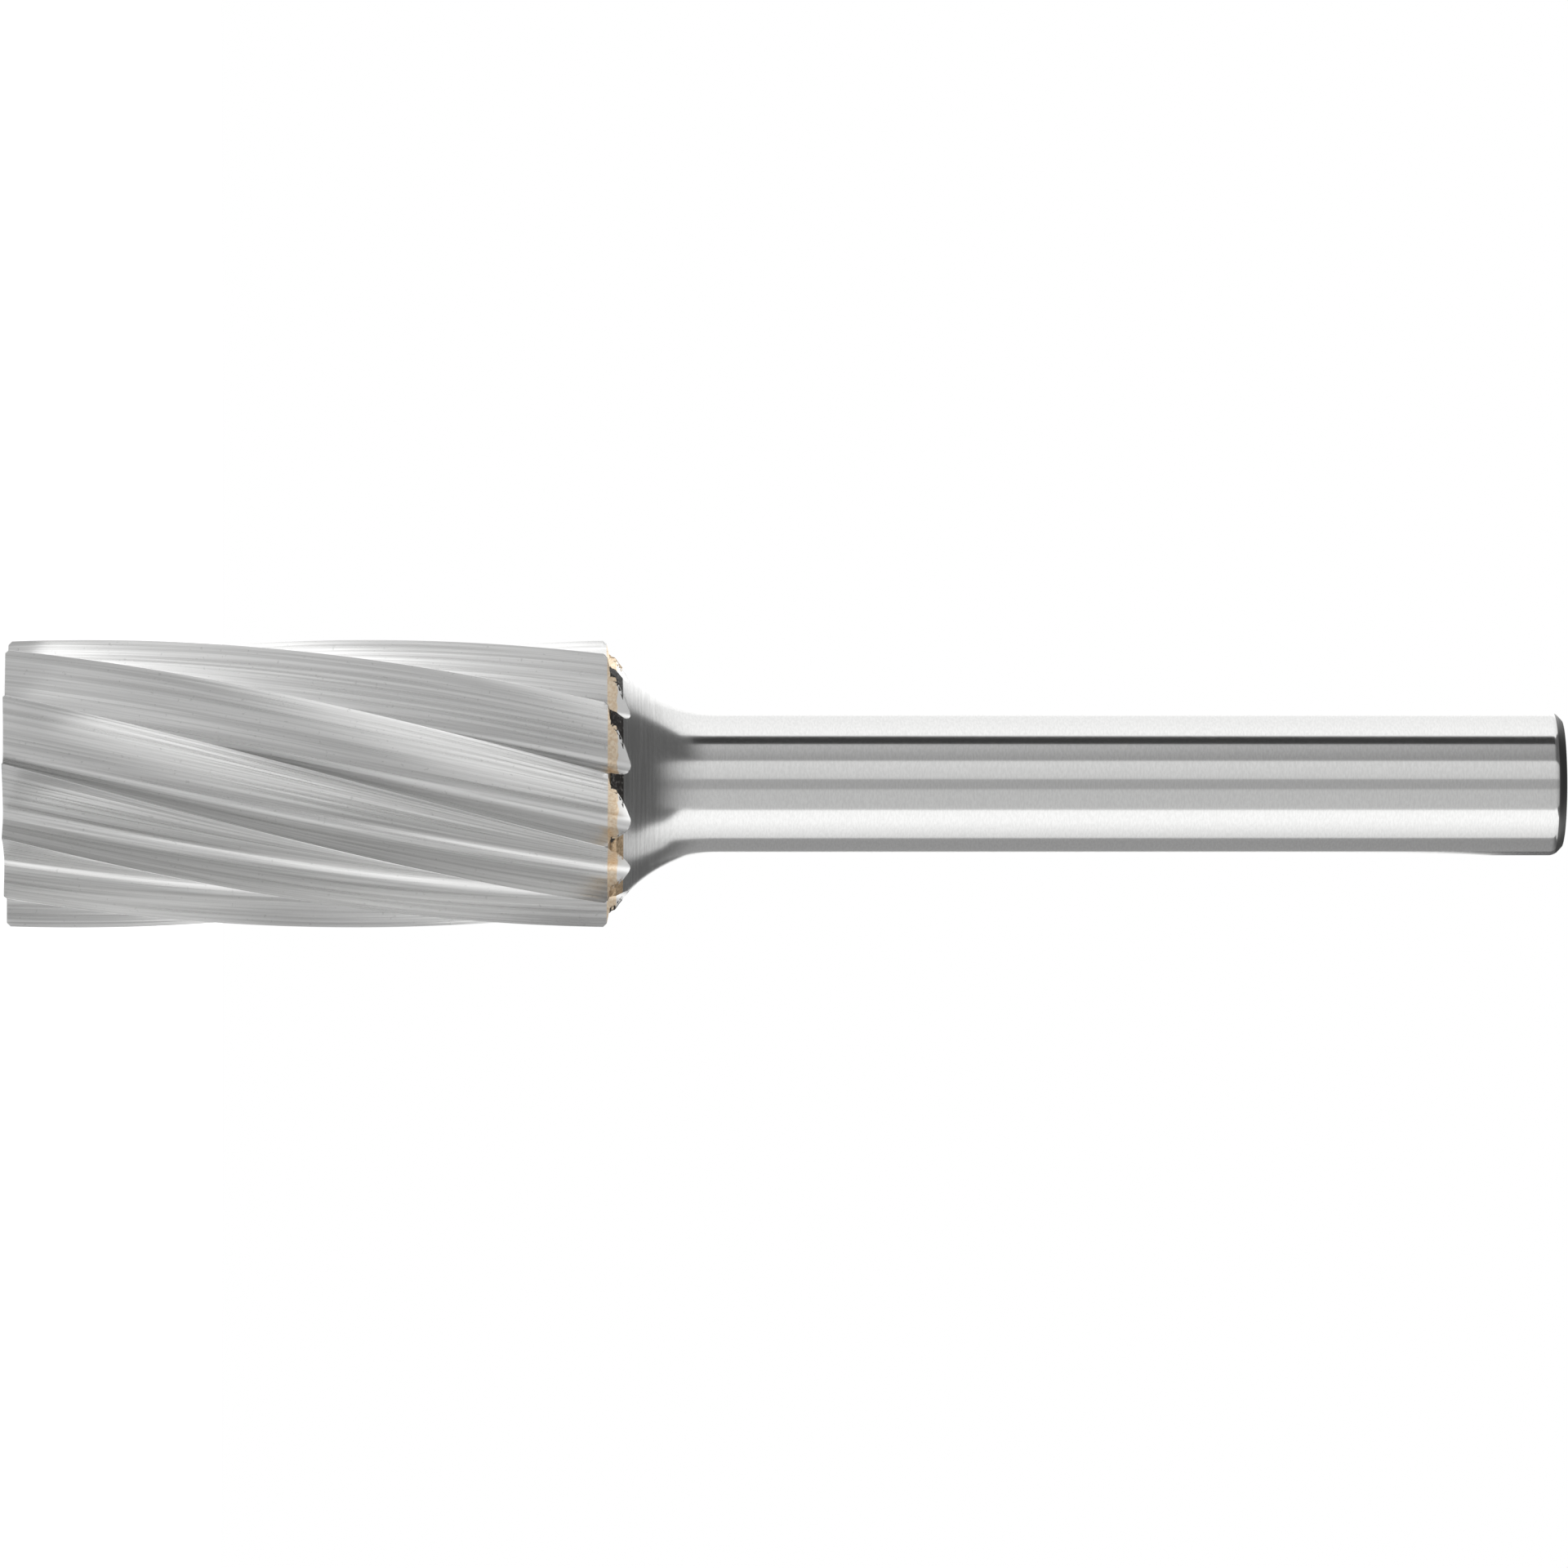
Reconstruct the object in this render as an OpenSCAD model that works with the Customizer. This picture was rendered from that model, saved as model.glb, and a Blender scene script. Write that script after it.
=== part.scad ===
// Carbide burr: a cylindrical cutting head with helical flutes, brazed to a round steel shank.
// It stands on the flat end of its head. Z runs up the axis, and the origin is the centre of that end.
// The flutes are ground after brazing, so they run on through the braze and out of the steel neck.

/* [Cutting head] */
// Diameter over the cutting edges
head_d = 12; // [10:0.5:14]
// Length of the carbide
head_len = 25; // [10:0.5:40]
// Width of the fine chamfer on both ends of the head
head_chamfer = 0.15; // [0.05:0.05:0.3]

/* [Flutes] */
// Number of teeth
teeth = 12; // [8:1:16]
// Angle between the cutting edges and the axis, right-handed
helix_angle = 15; // [5:1:30]
// Depth of a flute below the cutting edges
flute_depth = 1.5; // [1:0.05:1.6]
// Radius of the round root of a flute
root_radius = 0.55; // [0.3:0.05:0.7]
// Angle by which the cutting face leans into the flute
face_lean = 8.5; // [0:0.5:15]
// Width of the cylindrical land behind a cutting edge
land_w = 0.08; // [0.04:0.02:0.2]
// Height by which the back of a tooth is crowned
back_crown = 0.12; // [0:0.02:0.2]
// Place of the first cutting edge at the end of the head, in degrees from X
edge_start = 22; // [0:1:45]

/* [Braze] */
// Thickness of the braze between head and shank
braze_t = 0.35; // [0.1:0.05:0.6]

/* [Shank] */
// Diameter of the shank
shank_d = 6; // [3:0.5:8]
// Length of the whole tool
overall_len = 65; // [55:1:100]
// Distance by which the steel shoulder stands back from the cutting edges
shoulder_step = 0.76; // [0.2:0.02:1]
// Radius of the hollow neck between shoulder and shank
neck_r = 5.1; // [4:0.1:8]
// Chamfer on the free end of the shank
shank_chamfer = 0.5; // [0.2:0.1:1]

/* [Hidden] */

// Facets of a full circle, and the height of one step of the twisted flutes
round_fn = 128;
step_h = 0.9;
// Steps round the root of a flute and up the back of a tooth
root_steps = 6;
back_steps = 4;
// Height by which a cutting shape stands past the face that it cuts
past = 0.2;

head_r = head_d / 2;
shank_r = shank_d / 2;
shoulder_r = head_r - shoulder_step;
end_r = head_r - head_chamfer;
root_r = head_r - flute_depth;

// Turn of the helix for each millimetre of height
turn_per_mm = 360 * tan(helix_angle) / (PI * head_d);

// Heights of the joint faces, of the neck's end, and of the point where the flutes run out
steel_z = head_len + braze_t;
neck_axis_r = shank_r + neck_r;
neck_z = steel_z + hollow_rise(shoulder_r);
runout_z = max(steel_z, neck_z - hollow_rise(root_r)) + past;

// Height below the end of the neck at which its hollow has a given radius
function hollow_rise(r) = sqrt(max(0, neck_r * neck_r - pow(neck_axis_r - r, 2)));

// Angle that a width takes up on a circle
function arc_angle(width, r) = 180 * width / (PI * r);

// Point at a radius and an angle
function polar(r, angle) = [r * cos(angle), r * sin(angle)];

// Point where a line through p along u meets a line through q along v
function meeting(p, u, q, v) = p + u * cross(q - p, v) / cross(u, v);

// Points of one tooth, from its edge down the cutting face, round the root and up the back of the next tooth.
// The edge lies at angle 0, and the flute in front of it at negative angles. The tip is left sharp and
// stands a little past the head, whose cylinder then cuts the land.
function tooth_points() =
    let (pitch = 360 / teeth)
    let (axis_r = root_r + root_radius)
    let (axis = polar(axis_r, face_lean - asin((root_radius + head_r * sin(face_lean)) / axis_r)))
    let (heel = polar(head_r, arc_angle(land_w, head_r) - pitch))
    let (reach = heel - axis)
    let (root_start = 90 + face_lean)
    let (root_end = 360 + atan2(reach.y, reach.x) - acos(root_radius / norm(reach)))
    let (foot = axis + polar(root_radius, root_end))
    let (crown = polar(back_crown, root_end))
    let (tip = meeting(polar(head_r, -pitch), polar(1, face_lean - pitch), heel, heel - foot))
    concat(
        [for (i = [0 : root_steps])
            axis + polar(root_radius, root_start + (root_end - root_start) * i / root_steps)],
        [for (i = [1 : back_steps - 1])
            let (share = i / back_steps)
            foot + (heel - foot) * share + crown * 4 * share * (1 - share)],
        [tip]
    );

// Cross section of the fluted bar, with its first cutting edge at angle 0
module flute_section() {
    one = tooth_points();
    polygon([for (i = [0 : teeth - 1], p = one)
        let (a = -360 * i / teeth)
        [p.x * cos(a) - p.y * sin(a), p.x * sin(a) + p.y * cos(a)]]);
}

// Stretch of the fluted bar between two heights
module fluted_bar(z0, z1) {
    translate([0, 0, z0])
        rotate(edge_start + turn_per_mm * z0)
            linear_extrude(height = z1 - z0, twist = -turn_per_mm * (z1 - z0),
                           slices = ceil((z1 - z0) / step_h))
                flute_section();
}

// Outline of the head before grinding: a cylinder with both its end edges broken
module head_outline() {
    polygon([
        [0, 0],
        [end_r, 0],
        [head_r, head_chamfer],
        [head_r, head_len - head_chamfer],
        [end_r, head_len],
        [0, head_len]
    ]);
}

// Outline of the braze, which narrows from the head to the shoulder
module braze_outline() {
    polygon([
        [0, head_len],
        [end_r, head_len],
        [shoulder_r, steel_z],
        [0, steel_z]
    ]);
}

// Outline of the turned shank, with its hollow neck and its chamfered end
module shank_outline() {
    difference() {
        polygon([
            [0, steel_z],
            [shoulder_r, steel_z],
            [shoulder_r, neck_z],
            [shank_r, neck_z],
            [shank_r, overall_len - shank_chamfer],
            [shank_r - shank_chamfer, overall_len],
            [0, overall_len]
        ]);
        translate([neck_axis_r, neck_z])
            circle(r = neck_r, $fn = round_fn);
    }
}

module carbide_head() {
    color([0.66, 0.66, 0.67])
        intersection() {
            rotate_extrude($fn = round_fn)
                head_outline();
            fluted_bar(-past, head_len + past);
        }
}

module braze_joint() {
    color([0.78, 0.62, 0.38])
        intersection() {
            rotate_extrude($fn = round_fn)
                braze_outline();
            fluted_bar(head_len - past, steel_z + past);
        }
}

module steel_shank() {
    color([0.80, 0.80, 0.81])
        intersection() {
            rotate_extrude($fn = round_fn)
                shank_outline();
            union() {
                fluted_bar(steel_z - past, runout_z + past);
                translate([0, 0, runout_z])
                    cylinder(r = head_r + past, h = overall_len - runout_z + past, $fn = round_fn);
            }
        }
}

carbide_head();
braze_joint();
steel_shank();
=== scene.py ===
# Carbide burr standing on the end of its head: fluted carbide, gold braze, burnt flux and a ground steel shank.
# Metres, with Z up the axis of the tool and the origin at the centre of the flat end of the head.
import math

import bmesh
import bpy
from mathutils import Matrix, Vector

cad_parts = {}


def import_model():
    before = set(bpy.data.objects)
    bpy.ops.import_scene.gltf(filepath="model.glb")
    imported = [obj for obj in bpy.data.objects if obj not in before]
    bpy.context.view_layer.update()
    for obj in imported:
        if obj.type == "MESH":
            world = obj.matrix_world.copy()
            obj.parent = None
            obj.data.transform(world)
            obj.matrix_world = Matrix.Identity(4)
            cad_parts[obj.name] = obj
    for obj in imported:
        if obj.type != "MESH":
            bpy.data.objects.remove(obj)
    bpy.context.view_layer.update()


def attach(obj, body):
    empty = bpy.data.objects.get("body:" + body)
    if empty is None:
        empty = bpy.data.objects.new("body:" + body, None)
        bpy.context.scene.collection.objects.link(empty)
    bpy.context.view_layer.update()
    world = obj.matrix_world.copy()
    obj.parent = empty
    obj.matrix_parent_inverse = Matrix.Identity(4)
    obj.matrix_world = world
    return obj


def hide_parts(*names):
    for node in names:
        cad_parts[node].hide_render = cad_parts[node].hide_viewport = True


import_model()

MM = 0.001

# Carbide head
HEAD_R = 6.0 * MM
HEAD_LEN = 25.0 * MM
HEAD_CHAMFER = 0.15 * MM
END_R = HEAD_R - HEAD_CHAMFER

# Flutes, which turn with the helix as the height grows
TEETH = 12
PITCH = math.tau / TEETH
TURN = math.tan(math.radians(15)) / HEAD_R
EDGE_START = math.radians(22)
FLUTE_DEPTH = 1.5 * MM
ROOT_R = HEAD_R - FLUTE_DEPTH
ROOT_RADIUS = 0.55 * MM
FACE_LEAN = math.radians(8.5)
LAND_W = 0.02 * MM
BACK_CROWN = 0.12 * MM

# Braze, shoulder and neck
STEEL_Z = HEAD_LEN + 0.35 * MM
SHOULDER_R = HEAD_R - 0.76 * MM
SHANK_R = 3.0 * MM
NECK_R = 5.1 * MM
NECK_AXIS_R = SHANK_R + NECK_R
NECK_Z = STEEL_Z + math.sqrt(NECK_R**2 - (NECK_AXIS_R - SHOULDER_R) ** 2)
RUNOUT_PAST = 0.3 * MM
RUNOUT_Z = NECK_Z - math.sqrt(NECK_R**2 - (NECK_AXIS_R - ROOT_R) ** 2) + RUNOUT_PAST

# Free end of the shank, rounded into a slanted face, which painted shade makes darker than the rest
TOTAL_LEN = 65.0 * MM
END_RISE = 0.55 * MM
END_ROUND = 0.55 * MM
END_TILT = math.radians(38)
END_FLAT_R = SHANK_R - 0.34 * MM
END_SHADE_Z = TOTAL_LEN - 0.34 * MM

# Hollow face of the braze, as pairs of radius and height
BRAZE_FACE = ((END_R, HEAD_LEN), (5.42 * MM, HEAD_LEN + 0.09 * MM), (5.29 * MM, HEAD_LEN + 0.2 * MM),
              (SHOULDER_R, STEEL_Z))

# Burnt flux on the lands that the flutes leave at the shoulder
FLUX_LOW = HEAD_LEN + 0.12 * MM
FLUX_HIGH = HEAD_LEN + 0.65 * MM
FLUX_START_R = 5.385 * MM
FLUX_PROUD = 0.03 * MM
FLUX_INTO = 0.15 * MM

# How far a grinding tool stands past what it cuts, and the wall of the sleeve that grinds the run-outs
PAST = 0.2 * MM
SLEEVE_WALL = 1 * MM

# Vertices closer than this are one
JOIN = 1e-8
AXIS = {"cent": (0, 0, 0), "axis": (0, 0, 1)}

# Facets of a full circle, steps along the outlines, and rings along the helix
ROUND = 256
FACE_STEPS, ROOT_STEPS, BACK_STEPS, LAND_STEPS = 5, 14, 12, 2
NECK_STEPS, END_STEPS, CRUST_STEPS = 60, 10, 8
HEAD_RINGS, BRAZE_RINGS, SLEEVE_RINGS, CRUST_RINGS = 100, 6, 12, 8

# Edges that turn by more than this many degrees stay sharp
SHARP_TURN = 28


# ---------------------------------------------------------------- shapes


def on_circle(radius, angle):
    return Vector((radius * math.cos(angle), radius * math.sin(angle), 0))


def steps(count, low, high):
    """Evenly spaced values from low to high, without the first."""
    return [low + (high - low) * i / count for i in range(1, count + 1)]


def tooth_outline():
    """Points of one tooth: down its leaning face, round the root, up the back of the next and over its land."""
    axis_r = ROOT_R + ROOT_RADIUS
    axis = on_circle(axis_r, FACE_LEAN - math.asin((ROOT_RADIUS + HEAD_R * math.sin(FACE_LEAN)) / axis_r))
    edge = on_circle(HEAD_R, 0)
    heel = on_circle(HEAD_R, LAND_W / HEAD_R - PITCH)
    reach = heel - axis
    root_start = math.pi / 2 + FACE_LEAN
    root_end = math.tau + math.atan2(reach.y, reach.x) - math.acos(ROOT_RADIUS / reach.length)
    face_foot = axis + on_circle(ROOT_RADIUS, root_start)
    back_foot = axis + on_circle(ROOT_RADIUS, root_end)
    points = [edge]
    points += [edge.lerp(face_foot, share) for share in steps(FACE_STEPS, 0, 1)]
    points += [axis + on_circle(ROOT_RADIUS, turn) for turn in steps(ROOT_STEPS, root_start, root_end)]
    points += [back_foot.lerp(heel, share) + on_circle(4 * BACK_CROWN * share * (1 - share), root_end)
               for share in steps(BACK_STEPS, 0, 1)]
    points += [on_circle(HEAD_R, -turn) for turn in steps(LAND_STEPS, PITCH - LAND_W / HEAD_R, PITCH)]
    return points


def chain(bm, points, closed=False):
    """Row of vertices joined by edges."""
    verts = [bm.verts.new(point) for point in points]
    for pair in zip(verts, verts[1:] + verts[:closed]):
        bm.edges.new(pair)


def all_of(bm):
    return bm.verts[:] + bm.edges[:] + bm.faces[:]


def fluted_bar(low, high, rings):
    """Bar with the fluted section from end to end: one tooth spun round the axis, then swept up the helix."""
    bm = bmesh.new()
    place = Matrix.Translation((0, 0, low)) @ Matrix.Rotation(EDGE_START + TURN * low, 4, "Z")
    chain(bm, [place @ point for point in tooth_outline()])
    bmesh.ops.spin(bm, geom=all_of(bm), dvec=(0, 0, 0), angle=-PITCH * (TEETH - 1), steps=TEETH - 1,
                   use_duplicate=True, **AXIS)
    bmesh.ops.remove_doubles(bm, verts=bm.verts[:], dist=JOIN)
    bmesh.ops.spin(bm, geom=all_of(bm), dvec=(0, 0, (high - low) / rings), angle=TURN * (high - low),
                   steps=rings, **AXIS)
    bmesh.ops.edgeloop_fill(bm, edges=[edge for edge in bm.edges if edge.is_boundary])
    bmesh.ops.recalc_face_normals(bm, faces=bm.faces[:])
    return bm


def turned(outline, closed=False):
    """Shape turned on a lathe from its outline, given as pairs of radius and height."""
    bm = bmesh.new()
    chain(bm, [(radius, 0, height) for radius, height in outline], closed)
    bmesh.ops.spin(bm, geom=all_of(bm), dvec=(0, 0, 0), angle=math.tau, steps=ROUND, use_merge=True, **AXIS)
    bmesh.ops.remove_doubles(bm, verts=bm.verts[:], dist=JOIN)
    bmesh.ops.recalc_face_normals(bm, faces=bm.faces[:])
    return bm


def made(name, bm):
    """Object of a finished bmesh."""
    mesh = bpy.data.meshes.new(name)
    bm.to_mesh(mesh)
    bm.free()
    piece = bpy.data.objects.new(name, mesh)
    bpy.context.scene.collection.objects.link(piece)
    return piece


def ground(piece, tool, operation):
    """Cuts a piece with a tool, which is used up."""
    cutter = made("grinding_tool", tool)
    change = piece.modifiers.new("grind", "BOOLEAN")
    change.solver = "EXACT"
    change.operation = operation
    change.object = cutter
    cut = bpy.data.meshes.new_from_object(piece.evaluated_get(bpy.context.evaluated_depsgraph_get()))
    piece.modifiers.clear()
    piece.data = cut
    bpy.data.objects.remove(cutter)
    return piece


def crisp(piece):
    """Smooth shading that stops at the sharp edges."""
    piece.data.shade_smooth()
    piece.data.set_sharp_from_angle(angle=math.radians(SHARP_TURN))


def neck_radius(height):
    return NECK_AXIS_R - math.sqrt(max(0, NECK_R**2 - (NECK_Z - height) ** 2))


def neck_outline(low, high, count):
    return [(neck_radius(height), height) for height in steps(count, low, high)]


def head_shape():
    """Fluted head with a fine chamfer on the edges of both its ends."""
    bm = fluted_bar(0, HEAD_LEN, HEAD_RINGS)
    for height in (HEAD_CHAMFER, HEAD_LEN - HEAD_CHAMFER):
        bmesh.ops.bisect_plane(bm, geom=all_of(bm), plane_co=(0, 0, height), plane_no=(0, 0, 1), dist=JOIN)
    for vert in bm.verts:
        at_end = not HEAD_CHAMFER / 2 < vert.co.z < HEAD_LEN - HEAD_CHAMFER / 2
        if at_end and vert.co.xy.length > END_R:
            vert.co.xy = vert.co.xy.normalized() * END_R
    return made("ground_head", bm)


def braze_shape():
    """Layer of braze that narrows from the head to the shoulder, with the flutes ground through it."""
    blank = turned([(0, HEAD_LEN), *BRAZE_FACE, (0, STEEL_Z)])
    return ground(made("braze_line", blank), fluted_bar(HEAD_LEN - PAST, STEEL_Z + PAST, BRAZE_RINGS), "INTERSECT")


def end_outline():
    """Round of the free end, its slanted face and its flat."""
    rounded = [(SHANK_R - END_ROUND * (1 - math.cos(tilt)), TOTAL_LEN - END_RISE + END_ROUND * math.sin(tilt))
               for tilt in [0, *steps(END_STEPS, 0, END_TILT)]]
    return [*rounded, (END_FLAT_R, TOTAL_LEN), (0, TOTAL_LEN)]


def shank_shape():
    """Turned shank, with the run-outs of the flutes ground into its shoulder."""
    shoulder = [(0, STEEL_Z), (SHOULDER_R, STEEL_Z)]
    blank = turned(shoulder + neck_outline(STEEL_Z, NECK_Z, NECK_STEPS) + end_outline())
    low, high, outer = STEEL_Z - PAST, RUNOUT_Z, HEAD_R + SLEEVE_WALL
    sleeve = made("grinding_sleeve", turned([(0, low), (outer, low), (outer, high), (0, high)]))
    ground(sleeve, fluted_bar(low - PAST, high + PAST, SLEEVE_RINGS), "DIFFERENCE")
    bm = bmesh.new()
    bm.from_mesh(sleeve.data)
    bpy.data.objects.remove(sleeve)
    return ground(made("turned_shank", blank), bm, "DIFFERENCE")


def flux_shape():
    """Thin crust on the shoulder, left only on the lands between the flutes."""
    cone = [(FLUX_START_R, FLUX_LOW), *BRAZE_FACE[2:]]
    face = cone + neck_outline(STEEL_Z, FLUX_HIGH, CRUST_STEPS)
    outer = [(radius + FLUX_PROUD, height) for radius, height in face]
    inner = [(radius - FLUX_INTO, height) for radius, height in reversed(face)]
    blank = turned(outer + inner, closed=True)
    return ground(made("burnt_flux", blank), fluted_bar(FLUX_LOW - PAST, FLUX_HIGH + PAST, CRUST_RINGS), "INTERSECT")


# ---------------------------------------------------------------- shader bench


class Wire:
    """Output of a node. Python's own signs on it add Math nodes."""

    def __init__(self, bench, socket):
        self.bench = bench
        self.socket = socket

    def maths(self, operation, *values):
        return self.bench.node("Math", {"operation": operation}, dict(enumerate(values)))

    def root(self):
        return self.maths("SQRT", self)

    def fraction(self):
        return self.maths("FRACT", self)

    def __add__(self, other):
        return self.maths("ADD", self, other)

    def __sub__(self, other):
        return self.maths("SUBTRACT", self, other)

    def __rsub__(self, other):
        return self.maths("SUBTRACT", other, self)

    def __mul__(self, other):
        return self.maths("MULTIPLY", self, other)

    def __truediv__(self, other):
        return self.maths("DIVIDE", self, other)

    __radd__ = __add__
    __rmul__ = __mul__

    def between(self, low, high):
        """0 below low and 1 above high, with a smooth rise from one to the other."""
        return self.bench.node("MapRange", {"interpolation_type": "SMOOTHSTEP"},
                               {"Value": self, "From Min": low, "From Max": high})


class Bench:
    """Nodes of one material."""

    # Sockets of a Mix node that is set to colour, whose names are not unique
    MIX_SHARE, MIX_FIRST, MIX_SECOND, MIX_RESULT = 0, 6, 7, 2

    def __init__(self, name):
        self.material = bpy.data.materials.new(name)
        self.material.use_nodes = True
        self.tree = self.material.node_tree
        self.tree.nodes.clear()

    def node(self, kind, settings, values, *outputs):
        """Adds a node, with its settings first, then its sockets. Gives back the named outputs, or the first."""
        made_node = self.tree.nodes.new("ShaderNode" + kind)
        for name, value in settings.items():
            if name == "stops":
                self.set_stops(made_node.color_ramp, value)
            else:
                setattr(made_node, name, value)
        for name, value in values.items():
            if isinstance(value, Wire):
                self.tree.links.new(value.socket, made_node.inputs[name])
            else:
                made_node.inputs[name].default_value = value
        wires = [Wire(self, made_node.outputs[name]) for name in outputs or made_node.outputs.keys()[:1]]
        return wires[0] if len(wires) == 1 else wires

    def set_stops(self, ramp, stops):
        """Steps of a ramp that holds each colour up to the next position."""
        ramp.interpolation = "CONSTANT"
        while len(ramp.elements) < len(stops):
            ramp.elements.new(1)
        for element, (position, colour) in zip(ramp.elements, stops):
            element.position = position
            element.color = colour

    def place(self):
        return self.node("TexCoord", {}, {}, "Object")

    def parts(self, vector):
        return self.node("SeparateXYZ", {}, {"Vector": vector}, "X", "Y", "Z")

    def stretched(self, vector, x, y, z):
        return self.node("VectorMath", {"operation": "MULTIPLY"}, {0: vector, 1: (x, y, z)})

    def noise(self, vector, scale, detail=2.0, roughness=0.5):
        return self.node("TexNoise", {}, {"Vector": vector, "Scale": scale, "Detail": detail,
                                          "Roughness": roughness}, "Fac")

    def mixed(self, share, first, second):
        """Colour between two, by a share from 0 to 1."""
        return self.node("Mix", {"data_type": "RGBA"}, {
            self.MIX_SHARE: share, self.MIX_FIRST: first, self.MIX_SECOND: second}, self.MIX_RESULT)

    def bumped(self, height, distance):
        return self.node("Bump", {}, {"Height": height, "Distance": distance})

    def finish(self, shader):
        self.node("OutputMaterial", {}, {"Surface": shader})
        return self.material


def rgb(red, green, blue):
    return (red, green, blue, 1)


# ---------------------------------------------------------------- materials


# Carbide: its colours between and on the streaks, on the backs of the teeth, and on their cutting faces, which
# painted shade makes darker
BACK_COLOURS = rgb(0.60, 0.60, 0.595), rgb(0.83, 0.83, 0.825)
SHADED_FACE_COLOURS = rgb(0.53, 0.53, 0.525), rgb(0.75, 0.75, 0.745)
SPECK_COLOUR = rgb(0.3, 0.3, 0.295)
SPECK_DEPTH = 0.25

# Share of the way from one cutting edge back to the next, at which the root turns into the next cutting face, and
# the painted shade of the faces begins and is full
FACE_SHADE_FROM, FACE_SHADE_FULL = 0.82, 0.9

# Streaks: fine and broad noise, each with its scale, its pull along the flutes and its weight
FINE_SCALE, FINE_PULL, FINE_WEIGHT = 7500, 0.012, 0.7
BROAD_SCALE, BROAD_PULL, BROAD_WEIGHT = 2600, 0.03, 0.3
STREAK_RELIEF = 0.000013


def carbide_finish():
    """Ground carbide, streaked along the flutes, with painted shade that makes the cutting faces darker."""
    bench = Bench("ground_carbide")
    place = bench.place()
    height = bench.parts(place)[2]
    unwound = bench.node("VectorRotate", {"rotation_type": "Z_AXIS"}, {"Vector": place, "Angle": height * -TURN})
    x, y, z = bench.parts(unwound)
    share = ((y.maths("ARCTAN2", y, x) - EDGE_START) / PITCH).fraction()
    # Painted shade: the cutting faces get darker colours than the backs of the teeth
    face = share.between(FACE_SHADE_FROM, FACE_SHADE_FULL)
    fine = bench.noise(bench.stretched(unwound, 1, 1, FINE_PULL), FINE_SCALE, 3)
    broad = bench.noise(bench.stretched(unwound, 1, 1, BROAD_PULL), BROAD_SCALE, 2)
    speck = bench.noise(place, 6000, 2).between(0.66, 0.72)
    streak = (fine * FINE_WEIGHT + broad * BROAD_WEIGHT).between(0.36, 0.64)
    streaked = bench.mixed(face, bench.mixed(streak, *BACK_COLOURS), bench.mixed(streak, *SHADED_FACE_COLOURS))
    return bench.finish(bench.node("BsdfPrincipled", {}, {
        "Base Color": bench.mixed(speck * SPECK_DEPTH, streaked, SPECK_COLOUR), "Metallic": 1.0,
        "Roughness": 0.27 + streak * 0.06, "Anisotropic": 0.7, "Normal": bench.bumped(fine, STREAK_RELIEF)}))


# Braze: its darkest and lightest colour
GOLD_COLOURS = rgb(0.74, 0.58, 0.41), rgb(0.90, 0.78, 0.62)


def gold(bench, grain):
    """Colour of the braze."""
    return bench.mixed(grain.between(0.3, 0.7), *GOLD_COLOURS)


def braze_finish():
    """Gold braze, a little grainy."""
    bench = Bench("gold_braze")
    grain = bench.noise(bench.place(), 9000, 3)
    return bench.finish(bench.node("BsdfPrincipled", {}, {
        "Base Color": gold(bench, grain), "Metallic": 1.0, "Roughness": 0.42,
        "Normal": bench.bumped(grain, 0.00001)}))


# Steel: its darkest and lightest colour, the colours of turning lines and run-outs, and the painted shade of the
# free end
STEEL_COLOURS = rgb(0.625, 0.625, 0.62), rgb(0.675, 0.675, 0.67)
LINE_COLOUR = rgb(0.47, 0.47, 0.465)
RUNOUT_COLOUR = rgb(0.8, 0.8, 0.795)
# Near-black painted shade of the free end
END_SHADE_COLOUR = rgb(0.15, 0.15, 0.148)

# Roughness of the ground shank, and what neck, run-outs and free end add to it
SHANK_ROUGH, NECK_ROUGH, RUNOUT_ROUGH, END_ROUGH = 0.12, 0.09, 0.2, 0.25

# Braze bled on to the steel: where it ends above the joint, and how far its edge wavers
BLEED_LOW, BLEED_HIGH = STEEL_Z + 0.17 * MM, STEEL_Z + 0.22 * MM
BLEED_WAVER = 0.25 * MM


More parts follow.
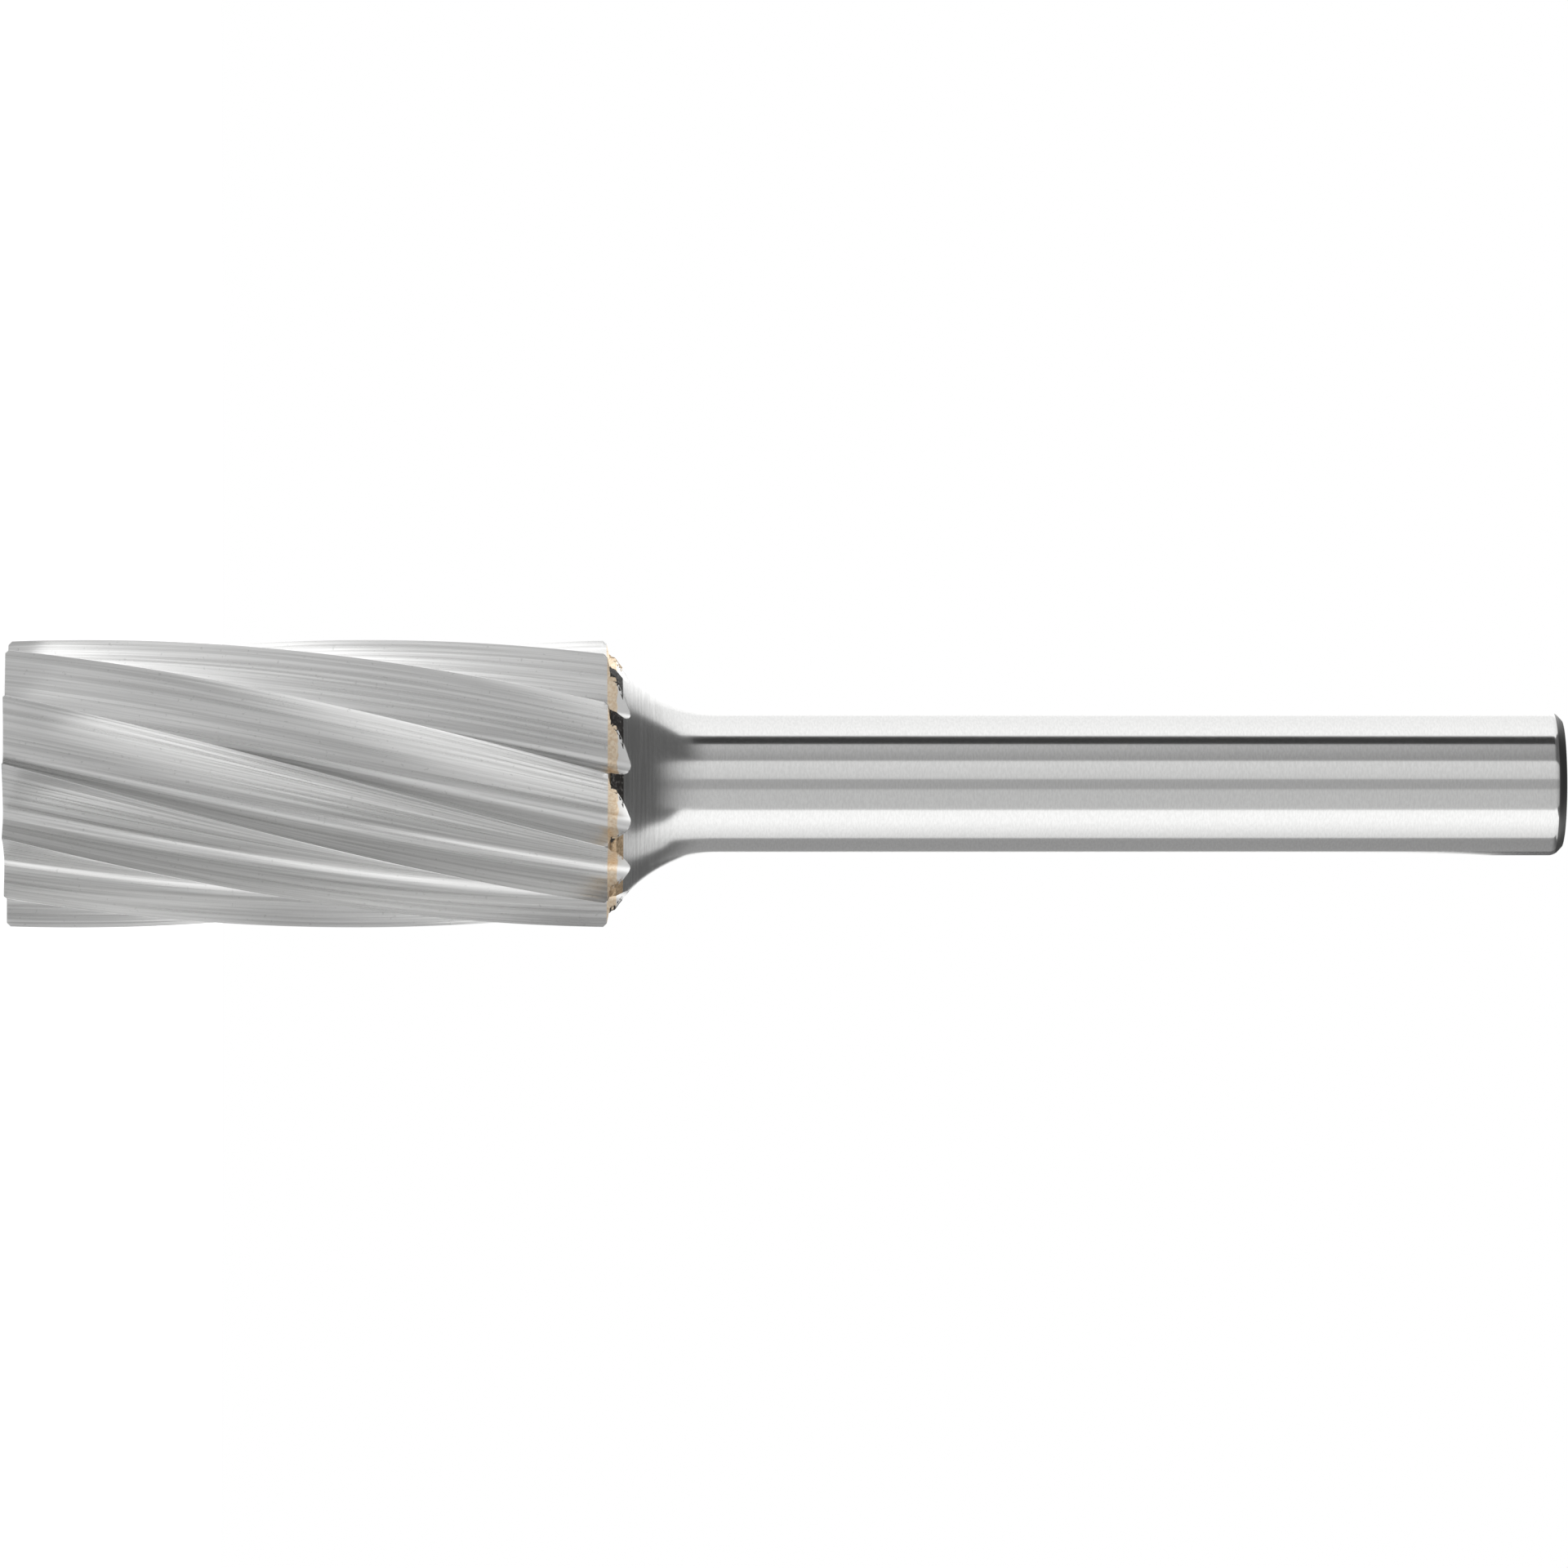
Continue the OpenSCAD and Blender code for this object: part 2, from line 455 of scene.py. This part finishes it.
def steel_finish():
    """Ground steel, with turning lines in the neck, a little braze on its lower edge and painted shade on the free
    end.
    """
    bench = Bench("ground_steel")
    place = bench.place()
    x, y, height = bench.parts(place)
    lines = bench.noise(bench.stretched(place, 0.03, 0.03, 1), 12000, 3)
    grain = bench.noise(bench.stretched(place, 1, 1, 3), 5000, 3)
    in_neck = 1 - height.between(NECK_Z - 2.5 * MM, NECK_Z)
    below_end = NECK_Z - height
    turned_r = NECK_AXIS_R - (NECK_R**2 - below_end * below_end).root()
    under = (turned_r - (x * x + y * y).root()).between(0.01 * MM, 0.05 * MM)
    cut = under * (1 - height.between(RUNOUT_Z, NECK_Z))
    # Painted shade: above this height the rounded free end gets a near-black colour
    end_shade = height.between(END_SHADE_Z - 0.02 * MM, END_SHADE_Z + 0.02 * MM)
    low = 1 - height.between(STEEL_Z + 1 * MM, STEEL_Z + 2.6 * MM) * 0.8
    steel = bench.mixed(grain.between(0.3, 0.7), *STEEL_COLOURS)
    lined = bench.mixed(lines.between(0.4, 0.6) * low * in_neck * 0.45, steel, LINE_COLOUR)
    bright = bench.mixed(cut, lined, RUNOUT_COLOUR)
    edge = height + bench.noise(place, 3000, 2) * BLEED_WAVER
    brazed = bench.mixed(edge.between(BLEED_LOW, BLEED_HIGH), gold(bench, grain), bright)
    relief = lines * in_neck * (1 - cut) * 0.02 + grain * 0.1
    return bench.finish(bench.node("BsdfPrincipled", {}, {
        "Base Color": bench.mixed(end_shade, brazed, END_SHADE_COLOUR), "Metallic": 1.0,
        "Roughness": SHANK_ROUGH + in_neck * NECK_ROUGH + cut * RUNOUT_ROUGH + end_shade * END_ROUGH,
        "Normal": bench.bumped(relief, 0.000003)}))


# How much of the crust is burnt black, from the camera's far side round over +X, one value for each land
BURNT = (0.9, 0.15, 0.95, 0.1, 0.4, 1.0, 1.0, 0.9, 0.15, 0.3, 1.0, 0.2)

# Share of the pitch by which the steps between these values are moved, so that they lie in the flutes
LAND_SHIFT = 0.4

# Flux: its darkest and lightest colour where it is brown, and where it is black
BROWN_COLOURS = rgb(0.42, 0.29, 0.17), rgb(0.72, 0.55, 0.36)
SOOT_COLOURS = rgb(0.018, 0.015, 0.013), rgb(0.22, 0.21, 0.20)


def flux_finish():
    """Burnt flux: black glassy crust on some lands, brown and gold on others."""
    bench = Bench("burnt_flux")
    place = bench.place()
    x, y, z = bench.parts(place)
    turn = x.maths("ARCTAN2", x * -1, y * -1) / math.tau + 0.5
    stops = [((index + LAND_SHIFT) / TEETH, rgb(burnt, burnt, burnt)) for index, burnt in enumerate(BURNT)]
    burnt = bench.node("ValToRGB", {"stops": stops}, {"Fac": turn})
    grain = bench.noise(place, 7000, 4, 0.6)
    cloud = bench.noise(place, 1800, 2)
    black = (burnt - cloud).between(-0.04, 0.04)
    brown = bench.mixed(grain.between(0.35, 0.65), *BROWN_COLOURS)
    soot = bench.mixed(grain.between(0.52, 0.7), *SOOT_COLOURS)
    return bench.finish(bench.node("BsdfPrincipled", {}, {
        "Base Color": bench.mixed(black, brown, soot), "Metallic": 0.7 - black * 0.7,
        "Roughness": 0.35 + grain * 0.3, "Normal": bench.bumped(grain, 0.00004)}))


# ---------------------------------------------------------------- studio

CAMERA_PLACE = Vector((0.00001, -0.445, 0.02032))
CAMERA_AIM = Vector((0.00001, 0, 0.03242))
CAMERA_LENS = 244.33
CAMERA_SENSOR = 36
CAMERA_CLIP = (0.01, 20)

# Light tent round the tool: a dim dome, and cards inside it. Angles are in degrees from the camera's side over -X.
# A card has its name, its columns of angle, lowest and highest elevation, its levels at the first and the last
# column, and the elevations between which it fades into the dome.
TENT_Z = 26 * MM
CARD_R = 0.35
DOME_R = 1.3
DOME_LEVEL = 0.16

# Lowest elevation of the tent, and the one that parts its upper and lower cards
LOWEST = -60
LEVEL = -6

# Fades of the cards in front of the tool and of those above it in the picture
FRONT_FADE = (6, 62)
HIGH_FADE = (10, 62)

CARDS = (
    ("backdrop_below", ((-180, LOWEST, 11), (-142, LOWEST, 11)), (1.4, 1.4), None),
    ("far_lower_card", ((-142, LEVEL, 30), (-98, LEVEL, 30)), (0.43, 0.43), (8, 30)),
    ("lower_softbox_corner", ((-150, 52, 72), (-135, 46, 69), (-120, 38, 63), (-98, 18, 59)), (0.7, 0.9), None),
    ("lower_softbox_rim", ((-98, LEVEL, 59), (-84, LEVEL, 57), (-64, LEVEL, 43)), (1.0, 1.43), None),
    ("lower_softbox", ((-64, LEVEL, 43), (-42.5, LEVEL, 33)), (1.44, 1.44), None),
    ("front_lower_card", ((-42.5, LEVEL, 62), (-9, LEVEL, 62)), (0.74, 0.74), FRONT_FADE),
    ("camera_gap", ((-9, LEVEL, 62), (7.5, LEVEL, 62)), (0.52, 0.52), FRONT_FADE),
    ("front_upper_card", ((7.5, LEVEL, 62), (37, LEVEL, 62)), (0.86, 0.99), FRONT_FADE),
    ("side_card", ((37, LEVEL, 32), (66.5, LEVEL, 32)), (0.44, 0.68), (4, 32)),
    ("dark_flag", ((66.5, LEVEL, 20), (82.5, LEVEL, 20)), (0.05, 0.05), None),
    ("upper_softbox", ((82.5, LEVEL, 27), (97, LEVEL, 34), (112, LEVEL, 41), (128, LEVEL, 46), (141, LEVEL, 50)),
     (1.40, 1.22), HIGH_FADE),
    ("backdrop_above", ((141, LOWEST, 45), (160, LOWEST, 28), (180, LOWEST, 12)), (1.4, 1.4), HIGH_FADE),
    ("lower_strip_below", ((-142, LOWEST, LEVEL), (-76, LOWEST, LEVEL)), (1.7, 2.2), None),
    ("lower_card_below", ((-76, LOWEST, LEVEL), (-30, LOWEST, LEVEL)), (1.8, 0.7), None),
    ("front_card_below", ((-30, LOWEST, LEVEL), (76, LOWEST, LEVEL)), (0.5, 0.9), None),
    ("upper_strip_below", ((76, LOWEST, LEVEL), (141, LOWEST, LEVEL)), (1.8, 2.1), None),
)

# Plate under the foot, which keeps the light of the strips off the ends of the flutes
PLATE_R = 10 * MM
PLATE_Z = -0.3 * MM
PLATE_LEVEL = 0.6

# Floor: its colour, and the share of white that it shows to the camera besides
FLOOR_COLOUR = rgb(0.85, 0.85, 0.85)
FLOOR_LIFT = 0.7

WHITE = rgb(1, 1, 1)


def glow(name, columns, levels, fade):
    """Light of a card, with its slow change from side to side and its fade into the dome's level above."""
    bench = Bench(name)
    x, y, z = bench.parts(bench.place())
    level = levels[0]
    if levels[0] != levels[1]:
        angle = x.maths("ARCTAN2", x * -1, y * -1)
        share = bench.node("MapRange", {}, {"Value": angle, "From Min": math.radians(columns[0][0]),
                                            "From Max": math.radians(columns[-1][0])})
        level = levels[0] + share * (levels[1] - levels[0])
    if fade:
        rise = (z - TENT_Z) / (x * x + y * y).root()
        level = level + rise.between(*(math.tan(math.radians(angle)) for angle in fade)) * (DOME_LEVEL - level)
    return bench.finish(bench.node("Emission", {}, {"Color": WHITE, "Strength": level}))


def card(name, columns, levels, fade):
    """Card that stands upright round the tool, with a slanted upper edge where its columns differ."""
    bm = bmesh.new()
    rows = []
    for angle, low, high in columns:
        foot = Vector((-math.sin(math.radians(angle)), -math.cos(math.radians(angle)), 0)) * CARD_R
        rows.append([bm.verts.new(foot + Vector((0, 0, TENT_Z + CARD_R * math.tan(math.radians(elevation)))))
                     for elevation in (low, high)])
    for (foot, top), (next_foot, next_top) in zip(rows, rows[1:]):
        bm.faces.new((foot, next_foot, next_top, top))
    stage_piece(made(name, bm), glow(name, columns, levels, fade))


def dome():
    """Dim dome behind the cards, open below them."""
    bm = bmesh.new()
    bmesh.ops.create_uvsphere(bm, u_segments=32, v_segments=24, radius=DOME_R)
    bmesh.ops.bisect_plane(bm, geom=all_of(bm), plane_co=(0, 0, DOME_R * math.sin(math.radians(LOWEST))),
                           plane_no=(0, 0, 1), clear_inner=True)
    stage_piece(made("dim_dome", bm), glow("dim_dome", (), (DOME_LEVEL, DOME_LEVEL), None))


def foot_plate():
    """Plate of even light under the foot, hidden from the camera."""
    bm = bmesh.new()
    below = Matrix.Translation((0, 0, PLATE_Z))
    bmesh.ops.create_circle(bm, cap_ends=True, segments=64, radius=PLATE_R, matrix=below)
    stage_piece(made("foot_plate", bm), glow("foot_plate", (), (PLATE_LEVEL, PLATE_LEVEL), None))


def stage_piece(piece, material):
    """Gives a lamp of the studio its light, and hides it from the camera."""
    piece.data.materials.append(material)
    piece.visible_camera = False


def floor():
    """Plain pale floor that shows white to the camera outside the tool's shadow."""
    bm = bmesh.new()
    bmesh.ops.create_circle(bm, cap_ends=True, segments=96, radius=CARD_R)
    bench = Bench("pale_floor")
    pale = bench.node("BsdfDiffuse", {}, {"Color": FLOOR_COLOUR})
    seen = bench.node("LightPath", {}, {}, "Is Camera Ray")
    lift = bench.node("Emission", {}, {"Color": WHITE, "Strength": seen * FLOOR_LIFT})
    piece = made("floor", bm)
    piece.data.materials.append(bench.finish(bench.node("AddShader", {}, {0: pale, 1: lift})))
    piece.visible_glossy = False


def world():
    """White surroundings."""
    scene_world = bpy.data.worlds.new("white_room")
    scene_world.use_nodes = True
    background = scene_world.node_tree.nodes["Background"]
    background.inputs["Color"].default_value = WHITE
    background.inputs["Strength"].default_value = 1.0
    bpy.context.scene.world = scene_world


def camera():
    """Long lens square to the tool, rolled so that the shank points to the right."""
    data = bpy.data.cameras.new("camera")
    data.sensor_width = CAMERA_SENSOR
    data.lens = CAMERA_LENS
    data.clip_start, data.clip_end = CAMERA_CLIP
    ahead = (CAMERA_AIM - CAMERA_PLACE).normalized()
    right = (Vector((0, 0, 1)) - ahead * ahead.z).normalized()
    up = right.cross(ahead)
    turn = Matrix((right, up, -ahead)).transposed()
    view = bpy.data.objects.new("camera", data)
    view.matrix_world = Matrix.Translation(CAMERA_PLACE) @ turn.to_4x4()
    bpy.context.scene.collection.objects.link(view)
    bpy.context.scene.camera = view


# ---------------------------------------------------------------- the tool


def dress(piece, node, material):
    """Finishes a piece, and lets it ride on the tool, in its node's place where it has one."""
    piece.data.materials.clear()
    piece.data.materials.append(material)
    crisp(piece)
    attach(piece, "root")
    if node:
        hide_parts(node)


dress(head_shape(), "carbide_head", carbide_finish())
dress(braze_shape(), "braze_joint", braze_finish())
dress(shank_shape(), "steel_shank", steel_finish())
dress(flux_shape(), None, flux_finish())

floor()
world()
dome()
for parts_of_card in CARDS:
    card(*parts_of_card)
foot_plate()
camera()
bpy.context.scene.view_settings.view_transform = "Standard"
